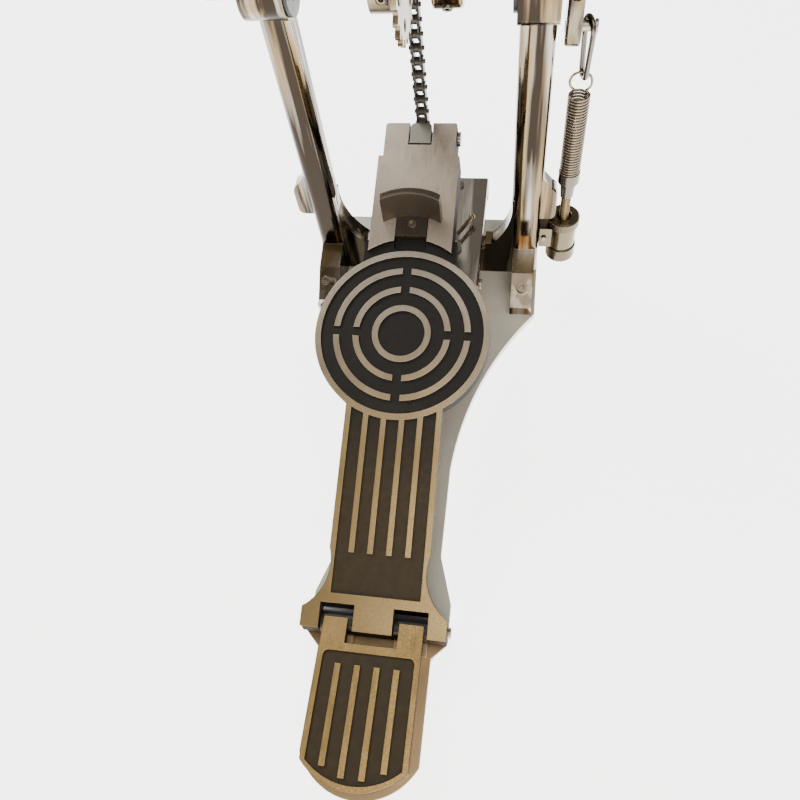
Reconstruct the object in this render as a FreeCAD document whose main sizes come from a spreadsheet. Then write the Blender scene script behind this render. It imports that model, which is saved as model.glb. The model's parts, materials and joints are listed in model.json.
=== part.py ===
import FreeCAD, Part
import math
import os
import re
import Sketcher

# Bass drum pedal. Millimetres, +Z up, +Y towards the drum, +X to the player's right.
# The origin is on the floor under the sole, on the pedal's centre plane.

V = FreeCAD.Vector
doc = FreeCAD.newDocument("bass_drum_pedal")
sheet = doc.addObject("Spreadsheet::Sheet", "Dims")

DIMENSIONS = {
    # floor, base and heel
    "sole_thick": 3, "base_thick": 5, "base_front": 187, "base_rear": -186,
    "foot_half": 74, "waist_half": 29.5, "heel_half": 29, "heel_top": 25, "fold_y": -120,
    "heel_plate_half": 26.2, "heel_plate_thick": 5, "heel_round_y": -175.7, "heel_end_y": -187,
    "heel_rim": 2.7, "plate_front_y": -121, "arm_in": 13.5, "heel_base_half": 30,
    "heel_flare_half": 37.6,
    "hinge_y": -109, "hinge_z": 18, "pin_rad": 3, "pin_half": 39.8, "barrel_rad": 6.5, "run_gap": 0.05,
    # footboard, along its own top face
    "tilt": 16.9, "board_thick": 5, "skirt": 10, "relief": 1.2, "rim": 3.2,
    "hinge_half": 38, "notch_in": 10.3, "notch_out": 28.3, "knuckle_rad": 6.4, "neck_half": 26.7,
    "flare_v": 30,
    "panel_v": 23, "rib_rear_v": 44.2, "rib_step": 10, "rib_wide": 3.1,
    "disc_v": 165.3, "disc_rad": 49.2, "ring_wide": 3.5, "ring_a": 38.7, "ring_b": 27.6,
    "ring_c": 16.6, "arc_gap": 5,
    "block_rear_v": 214, "block_half": 24.1, "block_step_v": 275, "block_tip_half": 21.4,
    "tip_v": 296.6, "block_deep": 18, "band": 7.5, "clevis_half": 7, "clevis_deep": 14.3,
    "end_half": 6.3, "end_rear_v": 283.3, "end_lip": 1.3, "chain_v": 299.6, "chain_n": -3.9578,
    "cross_pin_v": 291, "cross_pin_n": -8, "cross_pin_rad": 2.4,
    "stop_v": 228.4, "stop_half": 16.8, "stop_tall": 18, "stop_rad": 34, "stop_tab_half": 9, "stop_lean": 15,
    # posts, axle and cam
    "post_x": 64.65, "post_wide": 18, "post_deep": 15, "post_y": 145, "axle_z": 205,
    "house_rad": 14, "house_l_out": 78, "house_l_in": 55.6, "house_r_out": 74.5, "house_r_in": 54.6,
    "house_box": 15,
    "bearing_rad": 11, "bearing_wide": 7, "axle_rad": 5, "axle_end_rad": 4.5,
    "axle_left": 98, "axle_right": 86,
    "pitch": 8, "cam_teeth": 20, "roller_rad": 2.5, "link_tall": 7.1, "chain_pin_rad": 1.15,
    "straight_links": 12, "wrapped_links": 9, "lean": 38, "shaft_rad": 4.75,
    "shaft_long": 205, "beater_x": 22,
    # spring side
    "rocker_arm": 22, "rocker_x": 81.05, "rocker_half": 3.85, "spring_x": 88, "spring_rad": 6,
    "spring_low": 93.5, "spring_high": 146,
    "knob_rad": 9.9, "bracket_low": 34, "bracket_high": 50,
    # hoop clamp
    "clamp_half": 37.5, "clamp_z": 40, "clamp_thick": 2.5, "clamp_rear": 100, "clamp_front": 197,
    "clamp_pivot_y": 108, "clamp_pivot_z": 31, "screw_x": 17.5, "screw_y": 130.7,
}
for row, (alias, value) in enumerate(DIMENSIONS.items(), start=1):
    sheet.set(f"A{row}", alias)
    sheet.set(f"B{row}", str(value))
    sheet.setAlias(f"B{row}", alias)
doc.recompute()


def bound(text):
    """The same expression with each dimension's name pointing at the sheet."""
    return re.sub(r"\b([a-z]\w*)\b(?!\()", r"Dims.\1", str(text))


def value(text):
    return float(sheet.evalExpression(bound(text)))


# ---------------------------------------------------------------- building blocks
def body(label, at=("0", "0", "0"), turn=None):
    """An empty PartDesign body, placed by expressions and turned about one axis."""
    new = doc.addObject("PartDesign::Body", label)
    place(new, at, turn)
    return new


def place(obj, at, turn=None):
    axis, angle = turn or ((0, 0, 1), "0")
    obj.Placement = FreeCAD.Placement(V(*map(value, at)), FreeCAD.Rotation(V(*axis), value(angle)))
    for letter, text in zip("xyz", at):
        obj.setExpression(f"Placement.Base.{letter}", bound(text))
    if turn:
        obj.setExpression("Placement.Rotation.Angle", bound(angle))
    return obj


def sketch_on(owner, role, offset="0"):
    """A sketch on one of the body's origin planes, moved along the plane's normal."""
    plane = next(o for o in owner.Origin.OriginFeatures if o.Role == role)
    new = owner.newObject("Sketcher::SketchObject", owner.Name + "_sketch")
    new.AttachmentSupport = [(plane, "")]
    new.MapMode = "FlatFace"
    new.AttachmentOffset = FreeCAD.Placement(V(0, 0, value(offset)), FreeCAD.Rotation())
    new.setExpression("AttachmentOffset.Base.z", bound(offset))
    return new


def pin_point(sketch, geo, pos, where):
    for kind, text in zip(("DistanceX", "DistanceY"), where):
        index = sketch.addConstraint(Sketcher.Constraint(kind, -1, 1, geo, pos, value(text)))
        sketch.setExpression(f"Constraints[{index}]", bound(text))


def outline(sketch, *corners):
    """A closed outline. A corner of four texts is an arc through its first pair to its second."""
    spots = [tuple(map(value, corner)) for corner in corners]
    start = V(*spots[-1][-2:], 0)
    first = previous = None
    for corner, spot in zip(corners, spots):
        end = V(*spot[-2:], 0)
        if len(corner) == 2:
            geo, out, into = sketch.addGeometry(Part.LineSegment(start, end), False), 2, 1
        else:
            arc = Part.Arc(start, V(spot[0], spot[1], 0), end)
            geo = sketch.addGeometry(arc, False)
            into, out = (1, 2) if sketch.getPoint(geo, 1).isEqual(start, 1e-6) else (2, 1)
            through = sketch.addGeometry(Part.Point(V(spot[0], spot[1], 0)), True)
            pin_point(sketch, through, 1, corner[:2])
            sketch.addConstraint(Sketcher.Constraint("PointOnObject", through, 1, geo))
        pin_point(sketch, geo, out, corner[-2:])
        if previous:
            sketch.addConstraint(Sketcher.Constraint("Coincident", *previous, geo, into))
        first = first or (geo, into)
        previous, start = (geo, out), end
    sketch.addConstraint(Sketcher.Constraint("Coincident", *previous, *first))
    return sketch


def box_outline(sketch, left, right, low, high):
    return outline(sketch, (right, low), (right, high), (left, high), (left, low))


def rounded_box(sketch, x, y, half_x, half_y, radius):
    """A rectangle about a centre, with round corners."""
    right, left, top, low = (f"{x} + {half_x}", f"{x} - {half_x}", f"{y} + {half_y}", f"{y} - {half_y}")
    inset = f"{radius} * (1 - sqrt(0.5))"
    return outline(
        sketch,
        (right, f"{top} - {radius}"), (f"{right} - {inset}", f"{top} - {inset}", f"{right} - {radius}", top),
        (f"{left} + {radius}", top), (f"{left} + {inset}", f"{top} - {inset}", left, f"{top} - {radius}"),
        (left, f"{low} + {radius}"), (f"{left} + {inset}", f"{low} + {inset}", f"{left} + {radius}", low),
        (f"{right} - {radius}", low), (f"{right} - {inset}", f"{low} + {inset}", right, f"{low} + {radius}"),
    )


def ring(sketch, centre, *radii):
    for radius in radii:
        geo = sketch.addGeometry(Part.Circle(V(*map(value, centre), 0), V(0, 0, 1), value(radius)), False)
        pin_point(sketch, geo, 3, centre)
        index = sketch.addConstraint(Sketcher.Constraint("Radius", geo, value(radius)))
        sketch.setExpression(f"Constraints[{index}]", bound(radius))
    return sketch


def sound(owner, new):
    """The feature, if it computed, added to what was there and left the body one solid."""
    assert "Invalid" not in new.State, f"{owner.Label}: {new.Name} failed"
    if new.TypeId == "PartDesign::Pad" and new.BaseFeature:
        assert new.Shape.Volume > new.BaseFeature.Shape.Volume, f"{owner.Label}: {new.Name} adds nothing"
    assert len(new.Shape.Solids) == 1, f"{owner.Label}: {new.Name} leaves {len(new.Shape.Solids)} solids"
    return new


def feature(owner, kind, sketch, length, midplane=False, reverse=False):
    new = owner.newObject(f"PartDesign::{kind}", f"{owner.Name}_{kind}")
    new.Profile = sketch
    new.setExpression("Length", bound(length))
    new.Midplane = midplane
    new.Reversed = reverse
    sketch.Visibility = False
    doc.recompute()
    return sound(owner, new)


def pad(owner, sketch, length, midplane=False, down=False):
    return feature(owner, "Pad", sketch, length, midplane, down)


def cut(owner, sketch, length, midplane=False, up=False):
    """A pocket that must remove material."""
    before = owner.Shape.Volume
    new = feature(owner, "Pocket", sketch, length, midplane, up)
    assert owner.Shape.Volume < before - 0.01, f"{owner.Label}: {new.Name} cuts nothing"
    return new


def fillet(owner, radius, chosen):
    """Round the edges that the test picks, by their middle point and direction."""
    names = [f"Edge{i}" for i, edge in enumerate(owner.Shape.Edges, start=1) if chosen(edge)]
    rounded = owner.Tip
    new = owner.newObject("PartDesign::Fillet", owner.Name + "_fillet")
    new.Base = (rounded, names)
    new.Radius = radius
    doc.recompute()
    return sound(owner, new)


def middle(edge):
    return edge.valueAt((edge.FirstParameter + edge.LastParameter) / 2)


def upright(edge, axis=V(0, 0, 1)):
    ends = edge.Vertexes
    if len(ends) < 2 or edge.Curve.TypeId != "Part::GeomLine":
        return False
    run = ends[1].Point - ends[0].Point
    return run.cross(axis).Length < 1e-6 * max(run.Length, 1)


X_TURN = ((0, 1, 0), "90")


def rod(name, radius, length, at, turn=X_TURN):
    """A cylinder from its foot; turned about Y by default, so that it runs along +X."""
    new = doc.addObject("Part::Cylinder", name)
    new.setExpression("Radius", bound(radius))
    new.setExpression("Height", bound(length))
    return place(new, at, turn)


def cone(name, low, high, length, at, turn=None):
    new = doc.addObject("Part::Cone", name)
    new.setExpression("Radius1", bound(low))
    new.setExpression("Radius2", bound(high))
    new.setExpression("Height", bound(length))
    return place(new, at, turn)


def block(name, sizes, at, turn=None):
    new = doc.addObject("Part::Box", name)
    for side, text in zip(("Length", "Width", "Height"), sizes):
        new.setExpression(side, bound(text))
    return place(new, at, turn)


def fuse(name, *shapes):
    new = doc.addObject("Part::MultiFuse", name)
    new.Shapes = list(shapes)
    return new


def minus(name, base, *tools):
    new = doc.addObject("Part::Cut", name)
    new.Base = base
    new.Tool = tools[0] if len(tools) == 1 else fuse(name + "_tools", *tools)
    return new


def group(name, *shapes):
    """Identical loose pieces that share one node."""
    new = doc.addObject("Part::Compound", name)
    new.Links = list(shapes)
    return new


SUBPARTS = []


def subpart(obj, label=None):
    obj.Label = label or obj.Name
    SUBPARTS.append(obj)
    return obj


BOARD = (("0", "fold_y", "heel_top"), ((1, 0, 0), "tilt"))


def on_board(u, v, n):
    """Where a point given along the footboard's top face is, as three expressions."""
    return (f"{u}", f"fold_y + ({v}) * cos(tilt) - ({n}) * sin(tilt)",
            f"heel_top + ({v}) * sin(tilt) + ({n}) * cos(tilt)")


HINGE_V = "(hinge_y - fold_y) * cos(tilt) + (hinge_z - heel_top) * sin(tilt)"
HINGE_N = "(hinge_z - heel_top) * cos(tilt) - (hinge_y - fold_y) * sin(tilt)"

# ---------------------------------------------------------------- sole and base plate
SPUR_TILT = 35
SPUR_TOP = ("post_y - 32", "sole_thick + base_thick + 15")


def spur(name, side, radius, length, start):
    """A rod along a spur's axis, which leans back towards the player at its top."""
    lean = math.radians(SPUR_TILT)
    y_text = f"{SPUR_TOP[0]} - {start} * {math.sin(lean):.6f}"
    z_text = f"{SPUR_TOP[1]} + {start} * {math.cos(lean):.6f}"
    return rod(name, radius, length, (f"{side} * post_x", y_text, z_text), ((1, 0, 0), SPUR_TILT))


def plan(sketch, inset):
    """The plan outline of the base, drawn in by an inset."""
    wide, waist, heel = f"foot_half - {inset}", f"waist_half - {inset}", f"heel_half - {inset}"
    hinge, front, rear = f"heel_flare_half - {inset}", f"base_front - {inset}", f"base_rear + {inset}"
    return outline(
        sketch,
        (wide, front), (wide, "104"), (f"{waist} + 14", "50", waist, "-12"), (waist, "-66"),
        (hinge, "-92"), (hinge, "-111"), (heel, "-122"), (heel, "-168"), ("0", rear, f"-({heel})", "-168"),
        (f"-({heel})", "-122"), (f"-({hinge})", "-111"), (f"-({hinge})", "-92"),
        (f"-({waist})", "-66"), (f"-({waist})", "-12"),
        (f"-({waist}) - 14", "50", f"-({wide})", "104"), (f"-({wide})", front),
    )


def screw_wells(owner, spots, radius, depth):
    sketch = sketch_on(owner, "XY_Plane")
    for spot in spots:
        ring(sketch, spot, radius)
    return cut(owner, sketch, depth, up=True)


FRAME_BOLTS = [(f"{side} * {x}", "post_y") for side in (-1, 1) for x in ("post_x", "30")]
HEEL_BOLTS = [(f"{side} * 22", y) for side in (-1, 1) for y in ("-132", "-160")]
BRACKET_BOLTS = [(f"{side} * 26", "clamp_pivot_y + 1") for side in (-1, 1)]
ALL_BOLTS = FRAME_BOLTS + HEEL_BOLTS + BRACKET_BOLTS

sole = body("sole_mat")
pad(sole, plan(sketch_on(sole, "XY_Plane"), 2), "sole_thick")
screw_wells(sole, [(f"{s} * post_x", "post_y - 17") for s in (-1, 1)], "7", "sole_thick")
subpart(sole)

base = body("base_plate", ("0", "0", "sole_thick"))
pad(base, plan(sketch_on(base, "XY_Plane"), 0), "base_thick")
fillet(base, 12, lambda e: upright(e) and abs(middle(e).y) > 186)
screw_wells(base, ALL_BOLTS, "3.1", "base_thick")
screw_wells(base, ALL_BOLTS, "5.3", "3")
screw_wells(base, [(f"{s} * post_x", "post_y - 20") for s in (-1, 1)], "7", "base_thick")
screw_wells(base, [("screw_x", "screw_y")], "6.05", "base_thick")
subpart(base)

BASE_TOP = "(sole_thick + base_thick)"


def flat_bolt(name, spot, length):
    """A flat-headed bolt put in from under the base plate, its head in its well."""
    x, y = spot
    head = rod(name + "_head", "5.1", "2.8", (x, y, "sole_thick"), ((0, 0, 1), "0"))
    stem = rod(name + "_stem", "3", length, (x, y, "sole_thick"), ((0, 0, 1), "0"))
    drive = rod(name + "_drive", "1.8", "1.6", (x, y, "sole_thick"), ((0, 0, 1), "0"))
    return minus(name, fuse(name + "_body", head, stem), drive)


for node, spots, length in (("frame_bolts", FRAME_BOLTS, "17"), ("heel_bolts", HEEL_BOLTS, "16.8"),
                            ("bracket_bolts", BRACKET_BOLTS, "9")):
    bolts = [flat_bolt(f"{node}_{i}", spot, length) for i, spot in enumerate(spots)]
    subpart(group(node, *bolts))

# ---------------------------------------------------------------- heel: base, plate and hinge
heel = body("heel_base")
foot = outline(
    sketch_on(heel, "XY_Plane", BASE_TOP),
    ("heel_base_half", "-121.5"), ("heel_flare_half", "-114"), ("heel_flare_half", "hinge_y + 7"),
    ("-heel_flare_half", "hinge_y + 7"), ("-heel_flare_half", "-114"), ("-heel_base_half", "-121.5"),
    ("-heel_base_half", "-172"), ("0", "heel_end_y - 3", "heel_base_half", "-172"),
)
pad(heel, foot, "3")
riser = outline(
    sketch_on(heel, "XY_Plane", BASE_TOP),
    ("heel_plate_half - 0.6", "plate_front_y"), ("0.6 - heel_plate_half", "plate_front_y"),
    ("0.6 - heel_plate_half", "heel_round_y"),
    ("0", "heel_end_y + 1.5", "heel_plate_half - 0.6", "heel_round_y"),
)
pad(heel, riser, f"heel_top - heel_plate_thick - {BASE_TOP}")
# a cradle under each of the two barrels that hold the hinge pin
cradles = sketch_on(heel, "XY_Plane", BASE_TOP)
for left, right in (("-notch_out + 0.4", "-notch_in - 0.4"), ("notch_in + 0.4", "notch_out - 0.4")):
    box_outline(cradles, left, right, "plate_front_y - 1", "hinge_y + 6")
pad(heel, cradles, f"hinge_z - {BASE_TOP}")
cut(heel, ring(sketch_on(heel, "YZ_Plane"), ("hinge_y", "hinge_z"), "barrel_rad + run_gap"),
    "2 * notch_out", midplane=True)
bolt_wells = sketch_on(heel, "XY_Plane", BASE_TOP)
for spot in HEEL_BOLTS:
    ring(bolt_wells, spot, "3.05")
cut(heel, bolt_wells, "heel_top - heel_plate_thick", up=True)
subpart(heel)

plate = body("heel_plate", ("0", "0", "heel_top - heel_plate_thick"))
plate_outline = outline(
    sketch_on(plate, "XY_Plane"),
    ("arm_in", "plate_front_y"), ("arm_in", "hinge_y + 0.5"), ("heel_plate_half", "hinge_y + 0.5"),
    ("heel_plate_half", "heel_round_y"), ("0", "heel_end_y", "-heel_plate_half", "heel_round_y"),
    ("-heel_plate_half", "hinge_y + 0.5"), ("-arm_in", "hinge_y + 0.5"), ("-arm_in", "plate_front_y"),
)
pad(plate, plate_outline, "heel_plate_thick")
PANEL_HALF = "(heel_plate_half - heel_rim)"
plate_panel = outline(
    sketch_on(plate, "XY_Plane", "heel_plate_thick"),
    (PANEL_HALF, "plate_front_y - 4"), (PANEL_HALF, "heel_round_y + 0.2"),
    ("0", "heel_end_y + heel_rim", f"-{PANEL_HALF}", "heel_round_y + 0.2"),
    (f"-{PANEL_HALF}", "plate_front_y - 4"),
)
cut(plate, plate_panel, "relief")
plate_ribs = sketch_on(plate, "XY_Plane", "heel_plate_thick - relief")
for step, rear in ((-1.5, "-177.5"), (-0.5, "-181.5"), (0.5, "-181.5"), (1.5, "-177.5")):
    box_outline(plate_ribs, f"{step} * rib_step - rib_wide / 2", f"{step} * rib_step + rib_wide / 2",
                rear, "-131")
pad(plate, plate_ribs, "relief")
fillet(plate, 3, lambda e: upright(e) and abs(middle(e).y + 125) < 0.1)
barrel_seat = ring(sketch_on(plate, "YZ_Plane"),
                   ("hinge_y", "hinge_z - heel_top + heel_plate_thick"), "barrel_rad + run_gap")
cut(plate, barrel_seat, "3 * heel_plate_half", midplane=True)
subpart(plate)

subpart(rod("hinge_pin", "pin_rad - 0.01", "2 * pin_half", ("-pin_half", "hinge_y", "hinge_z")))

barrels = []
for i, start in enumerate(("-notch_out + 0.3", "notch_in + 0.3")):
    shell = rod(f"barrel_shell_{i}", "barrel_rad", "notch_out - notch_in - 0.6",
                (start, "hinge_y", "hinge_z"))
    hole = rod(f"barrel_hole_{i}", "pin_rad + 0.01", "notch_out - notch_in",
               (f"{start} - 0.1", "hinge_y", "hinge_z"))
    barrels.append(minus(f"barrel_{i}", shell, hole))
subpart(group("hinge_barrels", *barrels))

# ---------------------------------------------------------------- footboard
board = body("footboard", *BOARD)
NECK_JOIN = "disc_v - sqrt(disc_rad ^ 2 - neck_half ^ 2)"
board_outline = outline(
    sketch_on(board, "XY_Plane"),
    ("notch_in", "5"), ("notch_in", "18"), ("notch_out", "18"), ("notch_out", "5"),
    ("hinge_half", "5"), ("hinge_half", "15"),
    ("neck_half + 2.4", "panel_v + 1", "neck_half", "flare_v + 16"),
    ("neck_half", NECK_JOIN),
    ("disc_rad", "disc_v", "0", "disc_v + disc_rad"), ("-disc_rad", "disc_v", "-neck_half", NECK_JOIN),
    ("-neck_half", "flare_v + 16"), ("-neck_half - 2.4", "panel_v + 1", "-hinge_half", "15"),
    ("-hinge_half", "5"), ("-notch_out", "5"), ("-notch_out", "18"), ("-notch_in", "18"),
    ("-notch_in", "5"),
)
pad(board, board_outline, "board_thick", down=True)
skirt_outline = outline(
    sketch_on(board, "XY_Plane"),
    ("neck_half", "flare_v + 16"), ("neck_half", NECK_JOIN),
    ("disc_rad", "disc_v", "0", "disc_v + disc_rad"), ("-disc_rad", "disc_v", "-neck_half", NECK_JOIN),
    ("-neck_half", "flare_v + 16"),
)
pad(board, skirt_outline, "skirt", down=True)
# the block at the toe, with a sunken band between it and the disc
link_neck = sketch_on(board, "XY_Plane", "-2.4")
box_outline(link_neck, "-block_half - 2.5", "block_half + 2.5", "disc_v + 36", "block_rear_v + 8")
pad(board, link_neck, "skirt", down=True)
toe = outline(
    sketch_on(board, "XY_Plane"),
    ("block_half", "block_step_v"), ("block_tip_half", "block_step_v"), ("block_tip_half", "tip_v"),
    ("-block_tip_half", "tip_v"), ("-block_tip_half", "block_step_v"),
    ("-block_half", "block_step_v"), ("-block_half", "block_rear_v"),
    ("0", "disc_v + disc_rad + band", "block_half", "block_rear_v"),
)
pad(board, toe, "block_deep", down=True)
# hollow underside
under_neck = sketch_on(board, "XY_Plane", "-skirt")
for side in (-1, 1):
    box_outline(under_neck, f"{side} * 12 - 9", f"{side} * 12 + 9", "flare_v + 20", "disc_v - disc_rad")
cut(board, under_neck, "skirt - board_thick", up=True)
cut(board, ring(sketch_on(board, "XY_Plane", "-skirt"), ("0", "disc_v"), "disc_rad - 5"),
    "skirt - board_thick", up=True)
pad(board, ring(sketch_on(board, "XY_Plane", "-board_thick"), ("0", "disc_v"), "16", "12"), "3", down=True)
under_toe = sketch_on(board, "XY_Plane", "-block_deep")
box_outline(under_toe, "-block_half + 5", "block_half - 5", "block_rear_v + 16", "tip_v - clevis_deep - 5")
cut(board, under_toe, "block_deep - 6.5", up=True)
# sunken panels on the top, then the ribs and rings that stand in them
panel = outline(
    sketch_on(board, "XY_Plane"),
    ("neck_half - rim", "panel_v"), ("neck_half - rim", "disc_v - disc_rad + 7.2"),
    ("rim - neck_half", "disc_v - disc_rad + 7.2"), ("rim - neck_half", "panel_v"),
)
cut(board, panel, "relief")
cut(board, ring(sketch_on(board, "XY_Plane"), ("0", "disc_v"), "disc_rad - ring_wide"), "relief")
rim = ring(sketch_on(board, "XY_Plane", "-relief"), ("0", "disc_v"), "disc_rad", "disc_rad - ring_wide")
pad(board, rim, "relief")
rings = sketch_on(board, "XY_Plane", "-relief")
for outer in ("ring_a", "ring_b", "ring_c"):
    ring(rings, ("0", "disc_v"), outer, f"{outer} - ring_wide")
pad(board, rings, "relief")
gaps = sketch_on(board, "XY_Plane")
for side in (-1, 1):
    near, far = sorted((f"{side} * (ring_c + 3)", f"{side} * (ring_a + 1.5)"), key=value)
    box_outline(gaps, near, far, "disc_v - arc_gap / 2", "disc_v + arc_gap / 2")
    box_outline(gaps, "-arc_gap / 2", "arc_gap / 2", f"disc_v + {near}", f"disc_v + {far}")
cut(board, gaps, "relief")
board_ribs = sketch_on(board, "XY_Plane", "-relief")
for step in (-1.5, -0.5, 0.5, 1.5):
    centre = f"{step} * rib_step"
    box_outline(board_ribs, f"{centre} - rib_wide / 2", f"{centre} + rib_wide / 2", "rib_rear_v",
                f"disc_v - sqrt((disc_rad - 1) ^ 2 - ({centre}) ^ 2)")
pad(board, board_ribs, "relief")
# slots in the toe block for the toe stop and for the chain's end
slot = sketch_on(board, "XY_Plane")
box_outline(slot, "-stop_tab_half - 0.3", "stop_tab_half + 0.3", "disc_v + disc_rad + 2", "stop_v + 14")
cut(board, slot, "4.5")
jaw = sketch_on(board, "XY_Plane")
box_outline(jaw, "-clevis_half", "clevis_half", "tip_v - clevis_deep", "tip_v + 1")
cut(board, jaw, "block_deep + 1")
# hinge knuckles
knuckle = outline(
    sketch_on(board, "YZ_Plane"),
    (f"{HINGE_V} + knuckle_rad", "-2"), ("5.3", "-2"), (f"{HINGE_V} - knuckle_rad", f"{HINGE_N}"),
    (f"{HINGE_V}", f"{HINGE_N} - knuckle_rad", f"{HINGE_V} + knuckle_rad", f"{HINGE_N}"),
)
pad(board, knuckle, "2 * hinge_half", midplane=True)
notches = sketch_on(board, "XY_Plane")
for left, right in (("-notch_out", "-notch_in"), ("notch_in", "notch_out")):
    box_outline(notches, left, right, "-2", "18")
cut(board, notches, "20")
cut(board, ring(sketch_on(board, "YZ_Plane"), (HINGE_V, HINGE_N), "pin_rad + run_gap"),
    "3 * hinge_half", midplane=True)
cut(board, ring(sketch_on(board, "YZ_Plane"), ("cross_pin_v", "cross_pin_n"), "cross_pin_rad"),
    "3 * block_half", midplane=True)
cut(board, ring(sketch_on(board, "XY_Plane", "-4.5"), ("0", "stop_v + 3"), "1.6"), "6")
fillet(board, 1.6, lambda e: upright(e, board.Placement.Rotation.multVec(V(0, 0, 1)))
       and abs(abs(middle(e).x) - value("block_tip_half")) < 0.1
       and middle(e).y > value(on_board(0, "tip_v - 3", "-block_deep")[1]))
subpart(board)

# ---------------------------------------------------------------- toe stop
stop = body("toe_stop", *BOARD)
STOP_CENTRE = "stop_v + 8 - stop_rad"
stop_shell = outline(
    sketch_on(stop, "XY_Plane", "0.15"),
    ("stop_half + 0.4", f"{STOP_CENTRE} + sqrt((stop_rad + 4) ^ 2 - stop_half ^ 2)"),
    ("0", f"{STOP_CENTRE} + stop_rad + 4", "-stop_half - 0.4",
     f"{STOP_CENTRE} + sqrt((stop_rad + 4) ^ 2 - stop_half ^ 2)"),
    ("-stop_half", f"{STOP_CENTRE} + sqrt(stop_rad ^ 2 - stop_half ^ 2)"),
    ("0", f"{STOP_CENTRE} + stop_rad", "stop_half",
     f"{STOP_CENTRE} + sqrt(stop_rad ^ 2 - stop_half ^ 2)"),
)
wall = pad(stop, stop_shell, "stop_tall")
wall.UseCustomVector = True
wall.Direction = V(0, math.sin(math.radians(value("stop_lean"))), math.cos(math.radians(value("stop_lean"))))
doc.recompute()
sound(stop, wall)
stop_tab = sketch_on(stop, "XY_Plane", "-4.45")
box_outline(stop_tab, "-stop_tab_half", "stop_tab_half", "stop_v - 4.7", "stop_v + 11")
pad(stop, stop_tab, "4.9")
cut(stop, ring(sketch_on(stop, "XY_Plane", "0.45"), ("0", "stop_v + 3"), "2.7"), "1.6")
cut(stop, ring(sketch_on(stop, "XY_Plane", "0.45"), ("0", "stop_v + 3"), "1.7"), "6")
fillet(stop, 1.6, lambda e: middle(e).z > value(on_board(0, 0, "stop_tall")[2])
       and abs(stop.Placement.inverse().multVec(middle(e)).z - value("stop_tall") - 0.15) < 0.01)
subpart(stop)

STOP_SCREW = on_board(0, "stop_v + 3", "-9.5")
stop_stem = rod("stop_stem", "1.55", "8.5", STOP_SCREW, ((1, 0, 0), "tilt"))
stop_head = rod("stop_head", "2.6", "1.4", on_board(0, "stop_v + 3", "-1.1"), ((1, 0, 0), "tilt"))
stop_drive = rod("stop_drive", "1.2", "1", on_board(0, "stop_v + 3", "-0.5"), ((1, 0, 0), "tilt"))
subpart(minus("toe_stop_screw", fuse("stop_screw_body", stop_stem, stop_head), stop_drive))

# ---------------------------------------------------------------- chain
# The chain's line runs from its end pin in front of the toe to the point where it touches the
# sprocket's drum side; from there its pins sit on the pitch circle, one tooth apart.
pitch = value("pitch")
tooth = 2 * math.pi / value("cam_teeth")
pitch_rad = pitch / 2 / math.sin(tooth / 2)
chain_end = V(*map(value, on_board(0, "chain_v", "chain_n")))
axle_centre = V(0, value("post_y"), value("axle_z"))
span = axle_centre - chain_end
straight = math.sqrt(span.Length ** 2 - pitch_rad ** 2)
chain_angle = math.atan2(span.z, span.y) - math.atan2(pitch_rad, straight)
chain_way = V(0, math.cos(chain_angle), math.sin(chain_angle))
STRAIGHT, WRAPPED = int(value("straight_links")), int(value("wrapped_links"))
touch_turn = chain_angle - math.pi / 2


def on_pitch_circle(index):
    turn = touch_turn + tooth * index
    return axle_centre + V(0, math.cos(turn), math.sin(turn)) * pitch_rad


chain_pins = [chain_end + chain_way * straight * i / STRAIGHT for i in range(STRAIGHT)]
chain_pins += [on_pitch_circle(i) for i in range(WRAPPED + 1)]


def across(radius, half, where):
    """A cylinder along X, centred on a point."""
    return Part.makeCylinder(radius, 2 * half, where - V(half, 0, 0), V(1, 0, 0))


def link_plate(inner, outer):
    """One figure-of-eight plate of a link, from one pin to the next along Z."""
    plate_rad = value("link_tall") / 2
    ends = [Part.makeCylinder(plate_rad, outer - inner, V(inner, 0, z), V(1, 0, 0)) for z in (0, pitch)]
    web = Part.makeBox(outer - inner, plate_rad * 1.56, pitch, V(inner, -plate_rad * 0.78, 0))
    return ends[0].fuse([ends[1], web]).removeSplitter()


def inner_link():
    plates = [link_plate(1.5, 2.35), link_plate(-2.35, -1.5)]
    rollers = [across(value("roller_rad"), 1.5, V(0, 0, z)) for z in (0, pitch)]
    bores = [across(value("chain_pin_rad") + 0.05, 3, V(0, 0, z)) for z in (0, pitch)]
    return plates[0].fuse([plates[1]] + rollers).cut(bores)


def outer_link():
    plates = [link_plate(2.45, 3.3), link_plate(-3.3, -2.45)]
    pins = [across(value("chain_pin_rad"), 4.3, V(0, 0, z)) for z in (0, pitch)]
    return plates[0].fuse([plates[1]] + pins)


def end_link():
    """The outer link that hangs on the end block's own pin."""
    bore = across(value("chain_pin_rad") + 0.05, 5, V(0, 0, 0))
    return outer_link().cut([bore]).removeSplitter()


LINKS = (outer_link(), inner_link())


def link_at(index):
    """The link between two neighbouring pins: outer links are even, inner links odd."""
    start, end = chain_pins[index], chain_pins[index + 1]
    placed = LINKS[index % 2].copy() if index else end_link()
    placed.Placement = FreeCAD.Placement(start, FreeCAD.Rotation(V(0, 0, 1), end - start))
    return placed


def link_node(name, *indices):
    new = doc.addObject("Part::Feature", name)
    new.Shape = Part.makeCompound([link_at(i) for i in indices])
    new.Placement = FreeCAD.Placement()
    return subpart(new)


link_node("chain_strand", *range(STRAIGHT))
for free in range(4):
    link_node(f"chain_link_{free + 1}", STRAIGHT + free)
link_node("chain_wrap", *range(STRAIGHT + 4, STRAIGHT + WRAPPED))

CROSS = on_board(0, "cross_pin_v", "cross_pin_n")
end_block = body("chain_end_block", *BOARD)


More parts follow.
